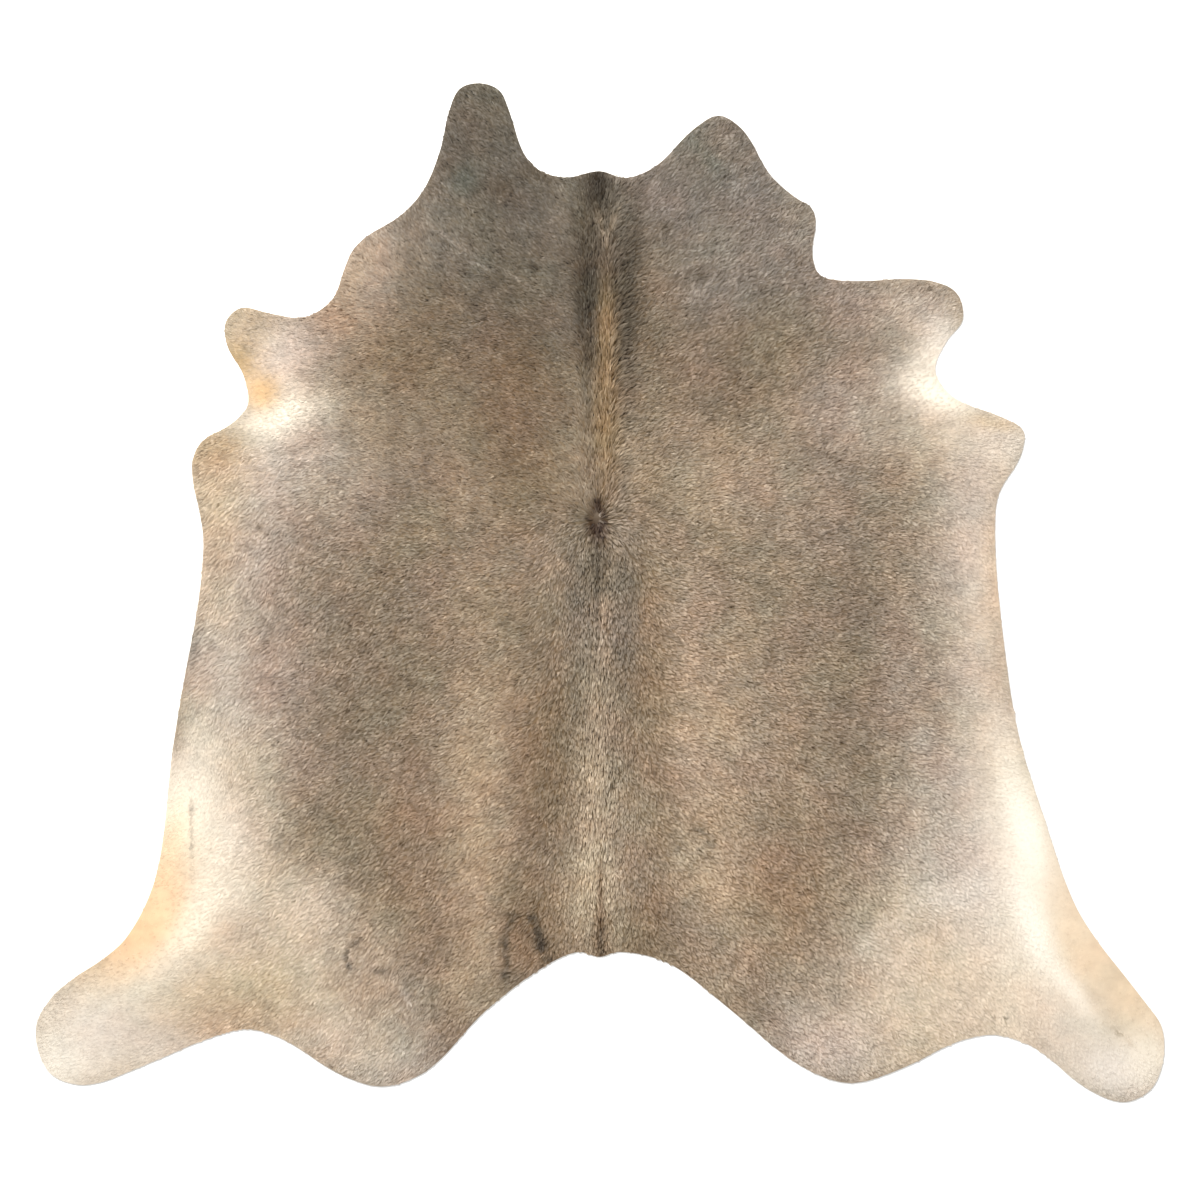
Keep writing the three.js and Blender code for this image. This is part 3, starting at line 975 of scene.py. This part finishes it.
def coat_piece(name, chosen):
    """One joined mesh of the chosen locks' blades."""
    corners = np.stack([left_root[chosen], right_root[chosen], tip[chosen]], 2).reshape(-1, 3)
    colours = np.stack([root_colour[chosen], root_colour[chosen], tip_colour[chosen]], 2).reshape(-1, 3)
    count = len(corners) // 3
    mesh = bpy.data.meshes.new(name)
    mesh.vertices.add(len(corners))
    mesh.vertices.foreach_set("co", corners.astype(np.float32).ravel())
    mesh.loops.add(len(corners))
    mesh.loops.foreach_set("vertex_index", np.arange(len(corners), dtype=np.int32))
    mesh.polygons.add(count)
    mesh.polygons.foreach_set("loop_start", np.arange(count, dtype=np.int32) * 3)
    mesh.update(calc_edges=True)
    store_colours(mesh, colours)
    store_map(mesh, seen_from_above(mesh, corners[:, :2].min(0), corners[:, :2].max(0))[0])
    piece = bpy.data.objects.new(name, mesh)
    scene.collection.objects.link(piece)
    print(name, count, "blades")
    return piece


middle = (lock_y <= NECK_LINE) & (lock_y > HIND_LINE)
coat = [
    coat_piece("coat_neck", lock_y > NECK_LINE),
    coat_piece("coat_left_side", middle & (lock_x < 0)),
    coat_piece("coat_right_side", middle & (lock_x >= 0)),
    coat_piece("coat_left_hind", (lock_y <= HIND_LINE) & (lock_x < 0)),
    coat_piece("coat_right_hind", (lock_y <= HIND_LINE) & (lock_x >= 0)),
]

# %% [markdown]
# ## Cow hair
# Hair is keratin, with an IOR of about 1.55. A cow's top coat is straight and smooth, so lying hair has a
# soft shine along it, but the many tips break it up: roughness 0.55. The colour comes from the blades, and
# five layers of soft noise, 12 to 140 mm wide, mottle it: three make it lighter and darker, two cooler and
# warmer, as the grey and tan hairs of a dun coat mix.

# %% Hair material
# Each row: patches in a metre, what the dark and the light end multiply the linear colour by
MOTTLES = [
    (7.0, (0.98, 1.01, 0.97), (1.02, 0.99, 1.03)),
    (9.0, (0.90, 0.90, 0.90), (1.10, 1.10, 1.10)),
    (14.0, (0.965, 1.00, 1.04), (1.035, 1.00, 0.95)),
    (30.0, (0.85, 0.85, 0.85), (1.15, 1.15, 1.15)),
    (80.0, (0.93, 0.93, 0.94), (1.07, 1.07, 1.06)),
]
MOTTLE_FADE = {"From Min": 0.3, "From Max": 0.65, "To Min": 1.0, "To Max": 0.15}  # on dark and pale hair
NOISE_RANGE = {"From Min": 0.3, "From Max": 0.7}


def mottled_coat(material):
    """The coat's colour with its painted shading, mottled by soft patches that fade where the hair is pale.
    """
    colour = add_node(material, "Attribute", {}, attribute_name="coat_colour_with_painted_shading").outputs["Color"]
    lightness = add_node(material, "RGBToBW", {"Color": colour}).outputs[0]
    share = add_node(material, "MapRange", {"Value": lightness, **MOTTLE_FADE}).outputs[0]
    for patches_in_a_metre, dark, light in MOTTLES:
        patches = add_noise(material, patches_in_a_metre, 3.0)
        spread = add_node(material, "MapRange", {"Value": patches, **NOISE_RANGE}).outputs[0]
        tint = add_mix(material, spread, (*dark, 1.0), (*light, 1.0))
        colour = add_mix(material, share, colour, tint, "MULTIPLY")
    return colour


cow_hair = new_material("cow_hair_top_coat")
hair_gloss = {"Roughness": 0.55, "IOR": 1.55, "Specular IOR Level": 0.12}
add_shader(cow_hair, {"Base Color": mottled_coat(cow_hair), **hair_gloss})
for piece in coat:
    piece.data.materials.append(cow_hair)

# %% [markdown]
# ## Undercoat, suede and the cut
# Between the locks the eye meets the undercoat on the skin: the coat's colour, darkened as painted shade,
# with a fine nap about 2 mm wide. The underside of a hide is split and buffed to suede: matt, pale, with a
# short nap and cloudy patches where the fibres lie differently. The knife leaves a fibrous pale edge.

# %% Skin materials
# Its colour, read from the skin's points, holds the painted shade under the locks.
undercoat = new_material("undercoat_on_skin")
nap = add_noise(undercoat, 450.0, 2.0)
nap_bump = add_node(undercoat, "Bump", {"Height": nap, "Strength": 0.6, "Distance": 0.6 * MM}).outputs[0]
nap_look = {"Roughness": 0.8, "IOR": 1.5, "Specular IOR Level": 0.1, "Normal": nap_bump}
add_shader(undercoat, {"Base Color": mottled_coat(undercoat), **nap_look})

suede = new_material("buffed_suede_underside")
clouds = add_mix(suede, add_noise(suede, 9.0, 5.0, 0.6), rgba("#b9a78f"), rgba("#d6c9b4"))
fibres = add_noise(suede, 700.0, 3.0, 0.7)
fibre_bump = add_node(suede, "Bump", {"Height": fibres, "Strength": 0.8, "Distance": 0.5 * MM}).outputs[0]
sheen = {"Specular IOR Level": 0.15, "Sheen Weight": 0.35, "Sheen Roughness": 0.6}
add_shader(suede, {"Base Color": clouds, "Roughness": 0.95, "Normal": fibre_bump, **sheen})

cut_edge = new_material("knife_cut_leather_edge")
strands = add_mix(cut_edge, add_noise(cut_edge, 900.0, 2.0), rgba("#b8a184"), rgba("#dccdb2"))
add_shader(cut_edge, {"Base Color": strands, "Roughness": 0.85})

for material in (undercoat, suede, cut_edge):
    skin.data.materials.append(material)

# %% Colour the skin's points and close it
UNDERCOAT_SHADE = 0.15  # painted shade under the locks: how much darker than the hair above it, in sRGB numbers

paint = coat_colour_with_painted_shading(*flat_points.T)
# The skin between the locks is darkened as painted shade.
painted_shade = UNDERCOAT_SHADE * shading_share(*flat_points.T, paint)[:, None]
store_colours(skin.data, linear((paint - painted_shade).clip(DARKEST, 1)))
closed = apply_modifiers(skin)
print("skin:", len(closed.polygons), "faces")

# %% Lay the skin's faces and rim side by side on the bake map
FACE_WIDTH = 0.485  # of the map, for each face
UNDERSIDE_FROM = 0.515
RIM_FROM = 0.49
RIM_TO = 0.51


def face_numbers(mesh, what):
    """One whole number for each face."""
    numbers = np.empty(len(mesh.polygons), np.int32)
    mesh.polygons.foreach_get(what, numbers)
    return numbers


uv, corner_height = seen_from_above(closed, edge.min(0), edge.max(0))
corner_side = np.repeat(face_numbers(closed, "material_index"), face_numbers(closed, "loop_total"))

on_rim = corner_side == RIM_SLOT
rim_places = edge.min(0) + uv[on_rim] * (edge.max(0) - edge.min(0))
nearest = np.array([np.hypot(*(edge - place).T).argmin() for place in rim_places])
uv[:, 0] *= FACE_WIDTH
uv[corner_side == UNDERSIDE_SLOT, 0] += UNDERSIDE_FROM
uv[on_rim, 0] = np.where(corner_height[on_rim] > 0.5 * SKIN, RIM_TO, RIM_FROM)
uv[on_rim, 1] = nearest / len(edge)
store_map(closed, uv)
print("corners on the hair side, underside and rim:", np.bincount(corner_side))

# %% [markdown]
# ## Join everything to the frame
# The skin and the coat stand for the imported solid. The skin is the sheet, laid flat on the floor, and the
# coat pieces go with it.

# %% Hand the pieces to the frame
for piece in [skin] + coat:
    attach(piece, "root")
    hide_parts("hide")
